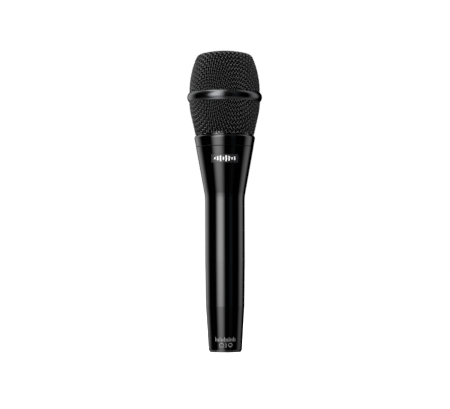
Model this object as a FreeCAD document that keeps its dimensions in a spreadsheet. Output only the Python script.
"""Handheld dual-diaphragm condenser vocal microphone, as a parametric FreeCAD document.

Frame: millimetres, +Z up along the microphone's axis, origin at the centre of the butt's rim, front to -Y.
Every driving size is a named cell of the sheet "Sizes". A piece is drawn in terms of those names, so each
radius, height and angle below is an expression bound to the sheet.
"""
import FreeCAD, Part
import math
import os
import re
import Sketcher

SIZES = {
    # handle
    "butt_face_radius": 9.7, "butt_rim_radius": 10.65, "butt_rim_top": 1.5,
    "butt_kink_radius": 12.2, "butt_kink": 29.1,
    "grip_radius": 12.55, "grip_bottom": 58.0, "cone_start": 98.3, "blend_reach": 2.5,
    "seam_radius": 18.3, "seam": 130.0, "seam_gap": 0.3, "edge_break": 0.08,
    "rim_break": 0.5, "rim_rounding": 0.4, "thread_break": 0.4,
    "well_radius": 8.1, "latch_radius": 8.6, "latch_bottom": 4.2, "latch_top": 6.5,
    "insert_top": 19.5, "shoulder_radius": 7.3, "shoulder_top": 21.0,
    "bore_radius": 10.6, "bore_bottom": 24.0, "bore_top": 100.0, "cone_bore_radius": 15.0,
    "spigot_radius": 15.9, "spigot_bottom": 124.0,
    # badge
    "badge_width": 17.0, "badge_height": 5.2, "badge_middle": 122.1, "badge_depth": 0.6,
    "badge_gap": 0.15, "badge_pride": 0.03,
    # neck ring, deck and rings on the rim
    "neck_radius": 16.62, "neck_top": 137.0, "neck_bore": 15.2, "deck_seat": 132.0,
    "ledge_bottom": 129.5, "ledge_bore": 12.2, "neck_skirt_bore": 14.4,
    "deck_radius": 15.15, "deck_top": 134.5, "deck_hole": 3.0, "deck_screw_circle": 13.5,
    "deck_screw_hole": 0.8, "deck_screw_head": 1.45, "deck_screw_cap": 0.9, "deck_screw_shank": 0.75,
    "deck_screw_short": 0.5, "switch_lead_circle": 6.18, "wire_clearance": 0.15,
    "gasket_bottom": 137.05, "gasket_top": 137.6, "gasket_bore": 15.35, "gasket_radius": 16.6,
    "ground_bottom": 137.7, "ground_top": 138.25, "ground_bore": 15.45, "ground_radius": 16.55,
    # grille
    "collar_bore": 16.7, "collar_radius": 19.22, "collar_widest": 135.4, "collar_top": 137.1,
    "collar_top_radius": 18.42, "collar_rounding": 1.7, "sleeve_radius": 17.28, "sleeve_top": 139.0,
    "ledge_radius": 15.6, "ledge_height": 0.65,
    "lower_foot_radius": 18.45, "lower_turn_radius": 21.4, "lower_turn": 150.1,
    "lower_top_radius": 22.5, "lower_top": 160.0, "lower_bulge": 46.0,
    "upper_foot_radius": 22.3, "upper_foot": 163.2, "upper_bulge": 55.0,
    "corner_radius": 18.2, "corner_start": 186.0, "corner_rounding": 4.7,
    "crown_radius": 14.8, "crown_start": 189.1, "total_length": 191.0,
    "band_bottom": 158.7, "band_top": 164.5, "band_middle": 161.6, "band_radius": 23.8,
    "band_rounding": 4.15,
    "band_bore": 21.4, "band_lip_lower": 22.6, "band_lip_upper": 22.42, "band_rib": 0.2,
    "mesh_thickness": 1.1, "screen_offset": 1.2, "screen_thickness": 0.3, "screen_gap": 0.2,
    "foam_offset": 1.7, "foam_thickness": 2.0, "foam_gap": 0.3,
    # pattern switch and its pedestal
    "pedestal_radius": 10.5, "pedestal_bore": 9.3, "pedestal_top": 142.5, "pedestal_roof": 1.5,
    "lead_hole": 2.6, "window_width": 6.4, "window_bottom": 136.2, "window_top": 139.0,
    "switch_width": 8.6, "switch_front": 8.0, "switch_depth": 4.0, "switch_height": 5.7,
    "slider_plate_width": 3.2, "slider_plate_depth": 1.05, "knob_width": 1.8, "knob_height": 1.8,
    "knob_reach": 11.3, "slider_travel": 2.4, "running_gap": 0.05,
    # capsule and its suspension
    "mount_top": 147.0, "mount_radius": 6.5, "mount_bore": 3.2, "mount_waist": 5.2,
    "mount_flange": 1.0,
    "hub_top": 148.4, "arm_width": 3.0, "ring_bottom": 149.6, "capsule_bottom": 151.5,
    "capsule_radius": 13.5, "housing_bore": 12.6, "stack_radius": 12.5, "lip_bore": 11.4,
    "lip_top": 152.5, "clamp_thickness": 1.2, "clamp_bore": 10.0, "film_ring": 0.8,
    "film_thickness": 0.06, "backplate_thickness": 2.9, "backplate_relief": 0.1,
    "relief_radius": 10.2, "insulator_thickness": 1.2, "insulator_bore": 10.8,
    "retainer_thickness": 1.0, "retainer_width": 0.35, "screen_height": 2.4, "screen_wall": 0.5,
    "screen_brim": 0.8, "screen_fall": 0.6, "screen_slope": 2.0, "screen_inset": 0.2,
    "plate_hole": 0.45, "plate_screw_circle": 11.3, "plate_screw_hole": 0.55,
    "plate_screw_head": 0.85, "plate_screw_cap": 0.5, "plate_screw_shank": 0.5, "plate_screw_bite": 2.0,
    # electronics
    "carrier_radius": 10.4, "carrier_bottom": 26.0, "carrier_top": 112.0, "carrier_cap": 2.0,
    "carrier_hole": 6.0, "rail_inner": 7.6, "rail_depth": 3.8, "rail_slot": 9.3,
    "board_width": 18.4, "board_thickness": 1.6, "board_bottom": 28.2, "board_top": 109.8,
    "lower_header_bottom": 30.0, "upper_header_bottom": 100.0, "header_height": 5.0,
    "header_width": 11.0, "header_depth": 3.4,
    "board_hole": 0.75, "board_screw_head": 1.2, "board_screw_cap": 0.6, "board_screw_shank": 0.7,
    "electrolytic_radius": 3.15, "electrolytic_length": 7.6,
    "film_case_width": 7.2, "film_case_depth": 6.4, "film_case_height": 2.6,
    "can_radius": 2.3, "can_length": 4.6, "can_flat": 1.2,
    "resistor_radius": 0.85, "resistor_length": 5.2, "resistor_column": 3.6,
    "chip_width": 5.0, "chip_bottom": 36.0, "chip_height": 5.0, "chip_depth": 1.6,
    # connector
    "insert_radius": 8.05, "insert_bottom": 14.0, "pin_radius": 1.2, "pin_root_radius": 1.7,
    "pin_circle": 3.81, "pin_tip_radius": 0.5, "pin_nose": 0.9, "pin_nose_rounding": 0.8,
    "pin_bottom": 2.2, "tail_radius": 0.6, "tail_top": 22.4, "pin_board_bottom": 19.6,
    "pin_board_top": 20.8, "pin_board_radius": 7.0, "lock_height": 16.8, "lock_radius": 1.0,
    "lock_reach": 10.9, "lock_slot_depth": 0.5, "lock_slot_width": 0.4,
    "wire_radius": 0.45, "wire_gap": 0.02, "lead_circle": 1.4,
}
HEADER_WIRES = 3  # wires to the capsule
REAR, FRONT_ANGLE = 90, 270  # where the back and the front are, in degrees round the axis
DECK_SCREWS = 3
SWITCH_LEAD_TURN = 14.04  # degrees from the front to each of the switch's leads
PLATE_SCREWS = (6, 30)  # screws in the capsule's front plate, and the first one's angle
PATTERN_HOLES = {4.0: 8, 7.0: 14, 9.2: 20}  # backplate holes: circle's radius, and holes on it

doc = FreeCAD.newDocument("microphone")
sheet = doc.addObject("Spreadsheet::Sheet", "Sizes")
for row, (name, size) in enumerate(SIZES.items(), start=1):
    sheet.set(f"A{row}", name)
    sheet.set(f"B{row}", str(size))
    sheet.setAlias(f"B{row}", name)
doc.recompute()

AXIS = FreeCAD.Vector(0, 0, 1)
pieces = []


def size(expression):
    """The number an expression in the sheet's names comes to."""
    return float(sheet.evalExpression(str(expression)))


def bound(expression):
    """The same expression with each name pointed at the sheet, for setExpression."""
    return re.sub(r"\b[a-z][a-z_]+\b(?!\()", r"Sizes.\g<0>", str(expression))


def piece(made, label):
    """Keep an object as one of the microphone's pieces, under the name of its node."""
    made.Label = label
    pieces.append(made)
    return made


def origin_plane(body, role):
    return next(feature for feature in body.Origin.OriginFeatures if feature.Role == role)


def tie(sketch, kind, edge, end, expression):
    """Hold one coordinate of a sketch point at an expression of the sheet."""
    number = sketch.addConstraint(Sketcher.Constraint(kind, -1, 1, edge, end, size(expression)))
    sketch.setExpression(f"Constraints[{number}]", bound(expression))


def section(body, name, outline):
    """A closed section in the XZ plane, drawn anticlockwise from points of (radius, height).

    A third item rounds the edge that follows, with that radius: "name" bulges it to the right of the
    way it is drawn, which is outward, and ("inward", "name") to the left.
    """
    sketch = body.newObject("Sketcher::SketchObject", name + "_section")
    sketch.AttachmentSupport = [(origin_plane(body, "XZ_Plane"), "")]
    sketch.MapMode = "FlatFace"
    corners = [FreeCAD.Vector(size(point[0]), size(point[1]), 0) for point in outline]
    count = len(outline)
    ends = []  # each edge's first and last point, as the sketcher numbers them
    for index, point in enumerate(outline):
        start, end = corners[index], corners[(index + 1) % count]
        if len(point) < 3:
            sketch.addGeometry(Part.LineSegment(start, end), False)
            ends.append((1, 2))
            continue
        inward = isinstance(point[2], tuple)
        rounding = point[2][1] if inward else point[2]
        chord = end - start
        rise = size(rounding) - math.sqrt(size(rounding) ** 2 - (chord.Length / 2) ** 2)
        aside = FreeCAD.Vector(chord.y, -chord.x, 0).normalize() * (-rise if inward else rise)
        middle = (start + end) / 2 + aside
        arc = Part.Arc(end, middle, start) if inward else Part.Arc(start, middle, end)
        sketch.addGeometry(arc, False)
        number = sketch.addConstraint(Sketcher.Constraint("Radius", index, size(rounding)))
        sketch.setExpression(f"Constraints[{number}]", bound(rounding))
        ends.append((2, 1) if inward else (1, 2))
    for index, point in enumerate(outline):
        first = ends[index][0]
        before = (index - 1) % count
        sketch.addConstraint(Sketcher.Constraint("Coincident", before, ends[before][1], index, first))
        if size(point[0]) == 0:
            sketch.addConstraint(Sketcher.Constraint("PointOnObject", index, first, -2))
        else:
            tie(sketch, "DistanceX", index, first, point[0])
        tie(sketch, "DistanceY", index, first, point[1])
    return sketch


def turned(label, outline):
    """A piece made on a lathe: its half section turned once about the microphone's axis."""
    body = doc.addObject("PartDesign::Body", label)
    sketch = section(body, label, outline)
    turn = body.newObject("PartDesign::Revolution", label + "_turn")
    turn.Profile = sketch
    turn.ReferenceAxis = (sketch, ["V_Axis"])
    turn.Angle = 360
    body.Tip = turn
    doc.recompute()
    return body


def ring(label, bore, radius, bottom, top):
    return turned(label, [(bore, bottom), (radius, bottom), (radius, top), (bore, top)])


def disc(label, radius, bottom, top):
    return turned(label, [("0", bottom), (radius, bottom), (radius, top), ("0", top)])


def drilled(body, circle, radius, count, first_angle=0.0):
    """Holes right through along Z: one hole on a pitch circle, and a polar pattern of it."""
    name = f"{body.Name}_hole{len(body.Group)}"
    sketch = body.newObject("Sketcher::SketchObject", name)
    sketch.AttachmentSupport = [(origin_plane(body, "XY_Plane"), "")]
    sketch.MapMode = "FlatFace"
    turn = math.radians(first_angle)
    reach = size(circle)
    middle = FreeCAD.Vector(reach * math.cos(turn), reach * math.sin(turn), 0)
    sketch.addGeometry(Part.Circle(middle, AXIS, size(radius)), False)
    for kind, share in (("DistanceX", math.cos(turn)), ("DistanceY", math.sin(turn))):
        tie(sketch, kind, 0, 3, f"({circle}) * {share:.9f}")
    number = sketch.addConstraint(Sketcher.Constraint("Radius", 0, size(radius)))
    sketch.setExpression(f"Constraints[{number}]", bound(radius))
    before = body.Shape.Volume
    pocket = body.newObject("PartDesign::Pocket", name + "_pocket")
    pocket.Profile = sketch
    pocket.Type = "ThroughAll"
    pocket.SideType = "Symmetric"
    body.Tip = pocket
    if count > 1:
        pattern = body.newObject("PartDesign::PolarPattern", name + "_pattern")
        pattern.Originals = [pocket]
        pattern.Axis = (sketch, ["N_Axis"])
        pattern.Angle = 360
        pattern.Occurrences = count
        body.Tip = pattern
    doc.recompute()
    assert body.Shape.Volume < before, name
    return body


def rounded(body, radius, height, rounding):
    """Round the turned edge that lies at one radius and height."""
    for number, edge in enumerate(body.Shape.Edges, start=1):
        curve = edge.Curve
        if not isinstance(curve, Part.Circle):
            continue
        if abs(curve.Radius - size(radius)) < 1e-4 and abs(curve.Center.z - size(height)) < 1e-4:
            break
    else:
        raise ValueError(f"{body.Label} has no edge at {radius}, {height}")
    turn = body.Tip
    fillet = body.newObject("PartDesign::Fillet", f"{body.Name}_fillet{len(body.Group)}")
    fillet.Base = (turn, [f"Edge{number}"])
    fillet.Radius = size(rounding)
    fillet.setExpression("Radius", bound(rounding))
    body.Tip = fillet
    doc.recompute()
    return body


def block(name, low, high):
    """A box between two corners, each given as three expressions."""
    made = doc.addObject("Part::Box", name)
    for axis, side, start, end in zip("xyz", ("Length", "Width", "Height"), low, high):
        made.setExpression(side, f"({bound(end)}) - ({bound(start)})")
        made.setExpression(f"Placement.Base.{axis}", bound(start))
    return made


def rod(name, radius, length, place, along=AXIS):
    """A cylinder from a point, along a direction."""
    made = doc.addObject("Part::Cylinder", name)
    made.setExpression("Radius", bound(radius))
    made.setExpression("Height", bound(length))
    made.Placement = FreeCAD.Placement(FreeCAD.Vector(), FreeCAD.Rotation(AXIS, along))
    for axis, expression in zip("xyz", place):
        made.setExpression(f"Placement.Base.{axis}", bound(expression))
    return made


def joined(name, parts):
    made = doc.addObject("Part::MultiFuse", name)
    made.Shapes = parts
    return made


def shared(name, first, second):
    made = doc.addObject("Part::MultiCommon", name)
    made.Shapes = [first, second]
    return made


def cut(name, base, tool):
    made = doc.addObject("Part::Cut", name)
    made.Base = base
    made.Tool = tool
    return made


def group(label, parts):
    """Identical small pieces that stay separate solids in one node."""
    made = doc.addObject("Part::Compound", label)
    made.Links = parts
    return piece(made, label)


def screw(name, place, along, head_radius, head_height, shank_radius, shank_length):
    """A small pan screw: its head starts at the place and its shank points the other way."""
    head = rod(name + "_head", head_radius, head_height, place, along)
    shank = rod(name + "_shank", shank_radius, shank_length, place, -along)
    return joined(name, [head, shank])


def bent_wire(points, radius, bend):
    """A round wire along straight runs joined by tangent arcs."""
    edges = []
    start = points[0]
    for before, corner, after in zip(points, points[1:], points[2:]):
        inward = (before - corner).normalize()
        outward = (after - corner).normalize()
        half = math.pi / 2 - inward.getAngle(outward) / 2
        if half < 1e-3:
            continue
        reach = min(bend * math.tan(half), 0.45 * min((before - corner).Length,
                                                       (after - corner).Length))
        arc_radius = reach / math.tan(half)
        bisector = (inward + outward).normalize()
        middle = corner + bisector * (arc_radius / math.cos(half) - arc_radius)
        first, last = corner + inward * reach, corner + outward * reach
        edges.append(Part.LineSegment(start, first).toShape())
        edges.append(Part.Arc(first, middle, last).toShape())
        start = last
    edges.append(Part.LineSegment(start, points[-1]).toShape())
    path = Part.Wire(edges)
    end_circle = Part.Circle(points[0], points[1] - points[0], radius).toShape()
    return path.makePipeShell([Part.Wire([end_circle])], True, True)


def wires(label, routes, radius="wire_radius", bend=4.0):
    """One node of insulated wires; each route is a list of points of three expressions."""
    solids = []
    for route in routes:
        points = [FreeCAD.Vector(*(size(value) for value in point)) for point in route]
        solids.append(bent_wire(points, size(radius), bend))
    made = doc.addObject("Part::Feature", label)
    made.Shape = Part.makeCompound(solids)
    return piece(made, label)


# --- handle ---------------------------------------------------------------------------------------

CONE = "((seam_radius - grip_radius) / (seam - cone_start))"  # how fast the cone widens
SLANT = f"sqrt(1 + {CONE} ^ 2)"


def cone_strip(name, outer, inner):
    """A ring that follows the cone, between two distances out from it, past the badge both ways."""
    low, high = "badge_middle - badge_height", "badge_middle + badge_height"
    radius = "grip_radius + ({0} - cone_start) * " + CONE
    return turned(name, [
        (f"{radius.format('(' + low + ')')} - ({inner})", low),
        (f"{radius.format('(' + low + ')')} + ({outer})", low),
        (f"{radius.format('(' + high + ')')} + ({outer})", high),
        (f"{radius.format('(' + high + ')')} - ({inner})", high),
    ])


def badge_window(name, margin):
    half_width = f"badge_width / 2 + ({margin})"
    half_height = f"badge_height / 2 + ({margin})"
    return block(name, (f"-({half_width})", "-seam_radius - 2", f"badge_middle - ({half_height})"),
                 (half_width, "0", f"badge_middle + {half_height}"))


def make_handle():
    blank = turned("handle_blank", [
        ("well_radius + rim_break", "0"), ("butt_face_radius", "0"), ("butt_rim_radius", "butt_rim_top"),
        ("butt_kink_radius", "butt_kink"), ("grip_radius", "grip_bottom"),
        ("grip_radius", "cone_start - blend_reach", ("inward", f"blend_reach * ({SLANT} + 1) / {CONE}")),
        (f"grip_radius + blend_reach * {CONE} / {SLANT}", f"cone_start + blend_reach / {SLANT}"),
        ("seam_radius", "seam - edge_break"),
        ("seam_radius - edge_break", "seam"), ("spigot_radius", "seam"),
        ("spigot_radius", "spigot_bottom"), ("cone_bore_radius", "spigot_bottom"),
        ("bore_radius", "bore_top"), ("bore_radius", "bore_bottom"),
        ("shoulder_radius", "shoulder_top"), ("shoulder_radius", "insert_top"),
        ("well_radius", "insert_top"), ("well_radius", "latch_top"), ("latch_radius", "latch_top"),
        ("latch_radius", "latch_bottom"), ("well_radius", "latch_bottom"), ("well_radius", "rim_break"),
    ])
    rounded(blank, "butt_rim_radius", "butt_rim_top", "rim_rounding")
    recess = shared("badge_recess", badge_window("recess_window", "badge_gap"),
                    cone_strip("recess_strip", "2", "badge_depth"))
    lock_hole = rod("lock_hole", "lock_radius + running_gap", "butt_kink_radius",
                    ("0", "well_radius - 1", "lock_height"), FreeCAD.Vector(0, 1, 0))
    piece(cut("handle_cut", blank, joined("handle_cuts", [recess, lock_hole])), "handle")
    piece(shared("badge_plate", badge_window("badge_outline", "0"),
                 cone_strip("badge_strip", "badge_pride", "badge_depth")), "badge")


# --- neck: thread ring, deck, gasket and ground spring ----------------------------------------------

def make_neck():
    neck = turned("neck_ring", [
        ("neck_skirt_bore", "spigot_bottom"), ("spigot_radius", "spigot_bottom"),
        ("spigot_radius", "seam"), ("neck_radius", "seam"), ("neck_radius", "neck_top - thread_break"),
        ("neck_radius - thread_break", "neck_top"), ("neck_bore", "neck_top"), ("neck_bore", "deck_seat"),
        ("ledge_bore", "deck_seat"), ("ledge_bore", "ledge_bottom"),
        ("neck_skirt_bore", "ledge_bottom"),
    ])
    piece(drilled(neck, "deck_screw_circle", "deck_screw_hole", DECK_SCREWS, REAR), "neck_ring")
    deck = disc("deck", "deck_radius", "deck_seat", "deck_top")
    drilled(deck, "0", "deck_hole", 1)
    drilled(deck, "deck_screw_circle", "deck_screw_hole", DECK_SCREWS, REAR)
    for side in (-1, 1):
        drilled(deck, "switch_lead_circle", "wire_radius + wire_clearance", 1,
                FRONT_ANGLE + side * SWITCH_LEAD_TURN)
    piece(deck, "deck")
    screws = []
    for number in range(DECK_SCREWS):
        turn = math.radians(REAR + 360 / DECK_SCREWS * number)
        place = (f"deck_screw_circle * {math.cos(turn):.9f}",
                 f"deck_screw_circle * {math.sin(turn):.9f}", "deck_top")
        screws.append(screw(f"deck_screw{number}", place, AXIS, "deck_screw_head",
                            "deck_screw_cap", "deck_screw_shank",
                            "deck_top - ledge_bottom - deck_screw_short"))
    group("deck_screws", screws)
    piece(ring("grille_gasket", "gasket_bore", "gasket_radius", "gasket_bottom", "gasket_top"),
          "grille_gasket")
    piece(ring("ground_spring", "ground_bore", "ground_radius", "ground_bottom", "ground_top"),
          "ground_spring")


# --- grille ----------------------------------------------------------------------------------------

# each profile point: radius, height, rounding of the edge that follows, and the way that is outward;
# the crown's rounding is worked out for each shell, so that its arc meets the axis squarely
LOWER_PROFILE = [
    ("lower_foot_radius", "collar_top", None, (1.0, 0.0)),
    ("lower_turn_radius", "lower_turn", "lower_bulge", (0.98, -0.2)),
    ("lower_top_radius", "lower_top", None, (1.0, 0.0)),
]
UPPER_PROFILE = [
    ("upper_foot_radius", "upper_foot", "upper_bulge", (1.0, 0.0)),
    ("corner_radius", "corner_start", "corner_rounding", (0.9, 0.44)),
    ("crown_radius", "crown_start", "crown", (0.27, 0.963)),
    ("0", "total_length", None, (0.0, 1.0)),
]


def shell(label, profile, outer, inner, foot=None, top=None):
    """A shell between two depths inside a grille profile, with its end heights moved if given."""
    walls = []
    for depth in (outer, inner):
        wall = []
        for radius, height, rounding, (lean, rise) in profile:
            at_radius = "0" if radius == "0" else f"{radius} - ({depth}) * {lean}"
            wall.append([at_radius, f"{height} - ({depth}) * {rise}",
                         rounding and f"{rounding} - ({depth})"])
        if wall[-2][2] and wall[-1][0] == "0":
            rise = f"({wall[-1][1]} - ({wall[-2][1]}))"  # the crown's arc is centred on the axis
            wall[-2][2] = f"(({wall[-2][0]}) ^ 2 + {rise} ^ 2) / (2 * {rise})"
        if foot:
            wall[0][1] = foot
        if top:
            wall[-1][1] = top
        walls.append(wall)
    outside, inside = walls
    outline = [tuple(point) if point[2] else tuple(point[:2]) for point in outside]
    for index in range(len(inside) - 1, -1, -1):
        point = tuple(inside[index][:2])
        rounding = inside[index - 1][2] if index else None
        outline.append(point + (("inward", rounding),) if rounding else point)
    return piece(turned(label, outline), label)


def make_grille():
    piece(turned("grille_collar", [
        ("collar_bore", "seam + seam_gap"), ("seam_radius - edge_break", "seam + seam_gap"),
        ("seam_radius", "seam + seam_gap + edge_break"),
        ("collar_radius", "collar_widest", "collar_rounding"), ("collar_top_radius", "collar_top"),
        ("sleeve_radius", "collar_top"), ("sleeve_radius", "sleeve_top"),
        ("ledge_radius", "sleeve_top"), ("ledge_radius", "sleeve_top - ledge_height"),
        ("collar_bore", "sleeve_top - ledge_height"),
    ]), "grille_collar")
    piece(turned("grille_band", [
        ("band_lip_lower", "band_bottom", "band_rounding"), ("band_radius", "band_middle", "band_rounding"),
        ("band_lip_upper", "band_top"), ("band_lip_upper", "upper_foot - band_rib"),
        ("band_bore", "upper_foot - band_rib"), ("band_bore", "lower_top + band_rib"),
        ("band_lip_lower", "lower_top + band_rib"),
    ]), "grille_band")
    shell("lower_grille_mesh", LOWER_PROFILE, "0", "mesh_thickness")
    shell("upper_grille_mesh", UPPER_PROFILE, "0", "mesh_thickness")
    screen = ("screen_offset", "screen_offset + screen_thickness")
    shell("lower_fine_screen", LOWER_PROFILE, *screen, foot="sleeve_top + screen_gap")
    shell("upper_fine_screen", UPPER_PROFILE, *screen)
    foam = ("foam_offset", "foam_offset + foam_thickness")
    shell("lower_foam", LOWER_PROFILE, *foam, foot="sleeve_top + foam_gap",
          top="lower_top + foam_thickness")
    shell("upper_foam", UPPER_PROFILE, *foam)


# --- pattern switch --------------------------------------------------------------------------------

def make_switch():
    cup = turned("pedestal_cup", [
        ("pedestal_bore", "deck_top"), ("pedestal_radius", "deck_top"),
        ("pedestal_radius", "pedestal_top"), ("lead_hole", "pedestal_top"),
        ("lead_hole", "pedestal_top - pedestal_roof"),
        ("pedestal_bore", "pedestal_top - pedestal_roof"),
    ])
    window = block("switch_window", ("-window_width / 2", "-pedestal_radius - 1", "window_bottom"),
                   ("window_width / 2", "-switch_front", "window_top"))
    piece(cut("pedestal_cut", cup, window), "switch_pedestal")
    case = block("switch_case", ("-switch_width / 2", "-switch_front", "deck_top"),
                 ("switch_width / 2", "switch_depth - switch_front", "deck_top + switch_height"))
    groove = block("switch_groove", ("-window_width / 2", "-switch_front - 1", "window_bottom"),
                   ("window_width / 2", "slider_plate_depth + 0.1 - switch_front", "window_top"))
    piece(cut("switch_body_cut", case, groove), "pattern_switch_body")
    middle = "-slider_travel / 2"
    plate = block("slider_plate",
                  (f"{middle} - slider_plate_width / 2", "running_gap - switch_front",
                   "window_bottom + running_gap"),
                  (f"{middle} + slider_plate_width / 2",
                   "slider_plate_depth + running_gap - switch_front", "window_top - running_gap"))
    knob_middle = "(window_bottom + window_top) / 2"
    knob = block("slider_knob",
                 (f"{middle} - knob_width / 2", "-knob_reach", f"{knob_middle} - knob_height / 2"),
                 (f"{middle} + knob_width / 2", "0.5 - switch_front",
                  f"{knob_middle} + knob_height / 2"))
    piece(joined("slider_join", [plate, knob]), "pattern_switch_slider")


# --- capsule and its suspension ---------------------------------------------------------------------

def stack():
    """Heights of the capsule's layers, from the rear clamp ring up to the retaining ring."""
    layers = ["clamp_thickness", "film_ring", "backplate_thickness", "insulator_thickness",
              "backplate_thickness", "film_ring", "clamp_thickness", "retainer_thickness"]
    heights = ["lip_top"]
    for layer in layers:
        heights.append(f"{heights[-1]} + {layer}")
    return heights


def diaphragm(label, bottom, top, film_up):
    """A stretched film on its ring: the film is on the ring's upper face or on its lower one."""
    if film_up:
        outline = [("clamp_bore", bottom), ("stack_radius", bottom), ("stack_radius", top), ("0", top),
                   ("0", f"{top} - film_thickness"), ("clamp_bore", f"{top} - film_thickness")]
    else:
        outline = [("0", bottom), ("stack_radius", bottom), ("stack_radius", top),
                   ("clamp_bore", top), ("clamp_bore", f"{bottom} + film_thickness"),
                   ("0", f"{bottom} + film_thickness")]
    return piece(turned(label, outline), label)


def backplate(label, bottom, top, relief_up):
    """A perforated plate with a shallow relief under the film."""
    if relief_up:
        outline = [("0", bottom), ("stack_radius", bottom), ("stack_radius", top),
                   ("relief_radius", top), ("relief_radius", f"{top} - backplate_relief"),
                   ("0", f"{top} - backplate_relief")]
    else:
        outline = [("0", f"{bottom} + backplate_relief"),
                   ("relief_radius", f"{bottom} + backplate_relief"), ("relief_radius", bottom),
                   ("stack_radius", bottom), ("stack_radius", top), ("0", top)]
    plate = turned(label, outline)
    for circle, count in PATTERN_HOLES.items():
        drilled(plate, str(circle), "plate_hole", count)
    return plate


def make_capsule():
    rear_clamp, rear_film, rear_plate, insulator, front_plate, front_film, front_clamp, \
        retainer, top = stack()
    piece(turned("shock_mount", [
        ("mount_bore", "pedestal_top"), ("mount_radius", "pedestal_top"),
        ("mount_radius", "pedestal_top + mount_flange"),
        ("mount_waist", "pedestal_top + 2 * mount_flange"),
        ("mount_waist", "mount_top - 2 * mount_flange"), ("mount_radius", "mount_top - mount_flange"),
        ("mount_radius", "mount_top"), ("mount_bore", "mount_top"),
    ]), "shock_mount")
    hub = rod("cradle_hub", "mount_radius", "hub_top - mount_top", ("0", "0", "mount_top"))
    envelope = rod("cradle_envelope", "capsule_radius", "ring_bottom - mount_top + 0.2",
                   ("0", "0", "mount_top"))
    bars = [block("cradle_bar_x", ("-capsule_radius", "-arm_width / 2", "mount_top"),
                  ("capsule_radius", "arm_width / 2", "ring_bottom + 0.2")),
            block("cradle_bar_y", ("-arm_width / 2", "-capsule_radius", "mount_top"),
                  ("arm_width / 2", "capsule_radius", "ring_bottom + 0.2"))]
    cross = shared("cradle_cross", envelope, joined("cradle_bars", bars))
    hollow = rod("cradle_hollow", "lip_bore", "ring_bottom - hub_top + 1", ("0", "0", "hub_top"))
    arms = cut("cradle_arms", cross, hollow)
    seat = ring("cradle_seat", "lip_bore", "capsule_radius", "ring_bottom", "capsule_bottom")
    lead_way = rod("cradle_lead_way", "lead_hole", "5", ("0", "0", "mount_top - 1"))
    piece(cut("cradle_cut", joined("cradle_join", [hub, arms, seat]), lead_way), "capsule_cradle")
    piece(turned("capsule_housing", [
        ("lip_bore", "capsule_bottom"), ("capsule_radius", "capsule_bottom"),
        ("capsule_radius", top), ("housing_bore", top), ("housing_bore", "lip_top"),
        ("lip_bore", "lip_top"),
    ]), "capsule_housing")
    piece(ring("rear_clamp_ring", "clamp_bore", "stack_radius", rear_clamp, rear_film),
          "rear_clamp_ring")
    diaphragm("rear_diaphragm", rear_film, rear_plate, film_up=True)
    piece(backplate("rear_backplate", rear_plate, insulator, relief_up=False), "rear_backplate")
    piece(ring("capsule_insulator", "insulator_bore", "stack_radius", insulator, front_plate),
          "capsule_insulator")
    front = backplate("front_backplate", front_plate, front_film, relief_up=True)
    piece(drilled(front, "plate_screw_circle", "plate_screw_hole", *PLATE_SCREWS), "front_backplate")
    film = diaphragm("front_diaphragm", front_film, front_clamp, film_up=False)
    drilled(film, "plate_screw_circle", "plate_screw_hole", *PLATE_SCREWS)
    clamp = ring("front_clamp_ring", "clamp_bore", "stack_radius", front_clamp, retainer)
    piece(drilled(clamp, "plate_screw_circle", "plate_screw_hole", *PLATE_SCREWS), "front_clamp_ring")
    screws = []
    count, first_angle = PLATE_SCREWS
    for number in range(count):
        turn = math.radians(first_angle + 360 / count * number)
        place = (f"plate_screw_circle * {math.cos(turn):.9f}",
                 f"plate_screw_circle * {math.sin(turn):.9f}", retainer)
        screws.append(screw(f"capsule_screw{number}", place, AXIS, "plate_screw_head",
                            "plate_screw_cap", "plate_screw_shank",
                            "clamp_thickness + film_ring + plate_screw_bite"))
    group("capsule_screws", screws)
    piece(ring("capsule_retainer", "housing_bore - retainer_width", "housing_bore", retainer, top),
          "capsule_retainer")
    piece(turned("capsule_screen", [
        ("capsule_radius", top), ("capsule_radius", f"{top} + screen_brim"),
        ("capsule_radius - screen_slope", f"{top} + screen_height - screen_fall"),
        ("0", f"{top} + screen_height"), ("0", f"{top} + screen_height - screen_wall"),
        ("capsule_radius - screen_slope - screen_inset",
         f"{top} + screen_height - screen_fall - screen_wall"),
        ("capsule_radius - screen_wall - screen_inset", f"{top} + screen_fall"),
        ("capsule_radius - screen_wall - screen_inset", top),
    ]), "capsule_screen")


# --- electronics and wiring -------------------------------------------------------------------------

FRONT = FreeCAD.Vector(0, -1, 0)
FACE = "board_thickness / 2"
# heights at which the components stand on the board
ELECTROLYTIC_HEIGHTS = (46, 55, 64)
FILM_HEIGHTS = (72, 78, 84)
TRANSISTOR_HEIGHTS = (48, 56)
RESISTOR_HEIGHTS = range(66, 98, 4)
BOARD_SCREWS = [("-8.5", "34"), ("8.5", "34"), ("-8.5", "104"), ("8.5", "104")]


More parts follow.
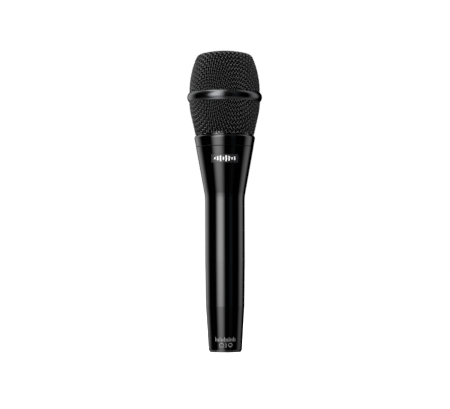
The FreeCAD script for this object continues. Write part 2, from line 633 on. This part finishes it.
def make_board():
    caps = [disc("carrier_foot", "carrier_radius", "carrier_bottom", "carrier_bottom + carrier_cap"),
            disc("carrier_head", "carrier_radius", "carrier_top - carrier_cap", "carrier_top")]
    rails = shared("carrier_rails", block(
        "rail_bars", ("-carrier_radius", "-rail_depth / 2", "carrier_bottom + 1"),
        ("carrier_radius", "rail_depth / 2", "carrier_top - 1")),
        rod("rail_envelope", "carrier_radius", "carrier_top - carrier_bottom",
            ("0", "0", "carrier_bottom")))
    gap = block("rail_gap", ("-rail_inner", "-carrier_radius", "carrier_bottom + carrier_cap"),
                ("rail_inner", "carrier_radius", "carrier_top - carrier_cap"))
    slot = block("rail_slots", ("-rail_slot", "-board_thickness / 2 - running_gap", "board_bottom - 0.1"),
                 ("rail_slot", "board_thickness / 2 + running_gap", "board_top + 0.1"))
    way = rod("carrier_way", "carrier_hole", "carrier_top", ("0", "0", "0"))
    holes = [rod(f"rail_hole{number}", "board_hole", "8", (across, "4", height), FRONT)
             for number, (across, height) in enumerate(BOARD_SCREWS)]
    piece(cut("carrier_cut", joined("carrier_join", caps + [rails]),
              joined("carrier_cuts", [gap, slot, way] + holes)), "board_carrier")
    sheet_of_board = block("board_blank", ("-board_width / 2", "-board_thickness / 2", "board_bottom"),
                           ("board_width / 2", "board_thickness / 2", "board_top"))
    holes = [rod(f"board_hole{number}", "board_hole", "4", (across, "2", height), FRONT)
             for number, (across, height) in enumerate(BOARD_SCREWS)]
    piece(cut("board_cut", sheet_of_board, joined("board_holes", holes)), "preamp_board")
    group("board_screws", [
        screw(f"board_screw{number}", (across, "-rail_depth / 2", height), FRONT,
              "board_screw_head", "board_screw_cap", "board_screw_shank", "rail_depth")
        for number, (across, height) in enumerate(BOARD_SCREWS)])


def make_components():
    group("electrolytic_capacitors", [
        rod(f"electrolytic{height}", "electrolytic_radius", "electrolytic_length",
            ("0", f"-{FACE}", str(height)), FRONT)
        for height in ELECTROLYTIC_HEIGHTS])
    group("film_capacitors", [
        block(f"film{height}", ("-film_case_width / 2", f"-{FACE} - film_case_depth", str(height)),
              ("film_case_width / 2", f"-{FACE}", f"{height} + film_case_height"))
        for height in FILM_HEIGHTS])
    cans = []
    for height in TRANSISTOR_HEIGHTS:
        can = rod(f"transistor{height}", "can_radius", "can_length", ("0", FACE, str(height)), -FRONT)
        flat = block(f"transistor_flat{height}", ("-3", FACE, f"{height} - 3"),
                     ("3", f"{FACE} + 5", f"{height} + can_flat"))
        cans.append(shared(f"transistor_case{height}", can, flat))
    group("transistors", cans)
    group("resistors", [
        rod(f"resistor{height}_{side}", "resistor_radius", "resistor_length",
            (f"{side} * resistor_column - resistor_length / 2", f"{FACE} + resistor_radius",
             str(height)), FreeCAD.Vector(1, 0, 0))
        for height in RESISTOR_HEIGHTS for side in (-1, 1)])
    piece(block("chip", ("-chip_width / 2", FACE, "chip_bottom"),
                ("chip_width / 2", f"{FACE} + chip_depth", "chip_bottom + chip_height")),
          "amplifier_chip")
    for label, bottom in (("lower_header", "lower_header_bottom"),
                          ("upper_header", "upper_header_bottom")):
        piece(block(label + "_block", ("-header_width / 2", f"-{FACE} - header_depth", bottom),
                    ("header_width / 2", f"-{FACE}", f"{bottom} + header_height")), label)


PIN_ANGLES = (180, 0, 270)


def make_connector():
    insert = disc("connector_insert", "insert_radius", "insert_bottom", "insert_top - 0.05")
    pin_board = disc("pin_board", "pin_board_radius", "pin_board_bottom", "pin_board_top")
    for angle in PIN_ANGLES:
        drilled(insert, "pin_circle", "pin_root_radius + 0.01", 1, angle)
        drilled(pin_board, "pin_circle", "tail_radius + 0.05", 1, angle)
    piece(insert, "connector_insert")
    piece(pin_board, "pin_board")
    for number, angle in enumerate(PIN_ANGLES, start=1):
        label = f"connector_pin_{number}"
        pin = turned(label, [
            ("0", "pin_bottom"), ("pin_tip_radius", "pin_bottom", "pin_nose_rounding"),
            ("pin_radius", "pin_bottom + pin_nose"), ("pin_radius", "insert_bottom"),
            ("pin_root_radius", "insert_bottom"), ("pin_root_radius", "insert_top - 0.1"),
            ("tail_radius", "insert_top - 0.1"), ("tail_radius", "tail_top"), ("0", "tail_top"),
        ])
        turn = math.radians(angle)
        pin.setExpression("Placement.Base.x", f"Sizes.pin_circle * {math.cos(turn):.9f}")
        pin.setExpression("Placement.Base.y", f"Sizes.pin_circle * {math.sin(turn):.9f}")
        piece(pin, label)
    grub = rod("lock_blank", "lock_radius", "lock_reach - insert_radius - 0.02",
               ("0", "insert_radius + 0.02", "lock_height"), FreeCAD.Vector(0, 1, 0))
    slot = block("lock_slot", ("-lock_radius", "lock_reach - lock_slot_depth",
                               "lock_height - lock_slot_width / 2"),
                 ("lock_radius", "lock_reach + 1", "lock_height + lock_slot_width / 2"))
    piece(cut("lock_cut", grub, slot), "insert_lock_screw")


def make_wires():
    lane = f"-{FACE} - header_depth / 2"
    routes = []
    for angle, across in zip(PIN_ANGLES, ("-2", "2", "0")):
        turn = math.radians(angle)
        x, y = (f"pin_circle * {share:.9f}" for share in (math.cos(turn), math.sin(turn)))
        routes.append([(x, y, "tail_top + wire_gap"), (x, y, "tail_top + 2"),
                       (across, lane, "lower_header_bottom - 2.5"),
                       (across, lane, "lower_header_bottom - wire_gap")])
    wires("output_wires", routes, bend=2.0)
    up, through = [], []
    for number in range(HEADER_WIRES):
        turn = math.radians(90 + 120 * number)
        x, y = (f"lead_circle * {share:.9f}" for share in (math.cos(turn), math.sin(turn)))
        across = ("0", "-2", "2")[number]
        up.append([(across, lane, "upper_header_bottom + header_height + wire_gap"),
                   (across, lane, "carrier_top + 1"), (x, y, "carrier_top + 10"),
                   (x, y, "deck_top")])
        turn = math.radians(45 + 90 * number)
        reach_x, reach_y = (f"(lip_bore - 0.7) * {share:.9f}"
                            for share in (math.cos(turn), math.sin(turn)))
        through.append([(x, y, "deck_top + wire_gap"), (x, y, "hub_top + 0.6"),
                        (reach_x, reach_y, "ring_bottom + 0.6"),
                        (reach_x, reach_y, "capsule_bottom + 0.6")])
    wires("board_leads", up, bend=8.0)
    wires("capsule_leads", through, bend=1.6)
    wires("switch_leads", [
        [(f"{side * 4}", lane, "upper_header_bottom + header_height + wire_gap"),
         (f"{side * 4}", lane, "carrier_top + 1"), (f"{side * 1.5}", "-6", "deck_seat - 6"),
         (f"{side * 1.5}", "-6", "deck_top - wire_gap")] for side in (-1, 1)], bend=8.0)


make_handle()
make_neck()
make_grille()
make_switch()
make_capsule()
make_board()
make_components()
make_connector()
make_wires()
doc.recompute()

for made in doc.Objects:
    troubles = {"Invalid", "Error"} & set(made.State)
    assert not troubles, f"{made.Label}: {troubles}"
for made in pieces:
    assert not made.Shape.isNull() and made.Shape.isValid(), made.Label

os.makedirs("parts", exist_ok=True)
for made in pieces:
    made.Shape.exportStep(f"parts/{made.Label}.step")
print(f"{len(pieces)} pieces")
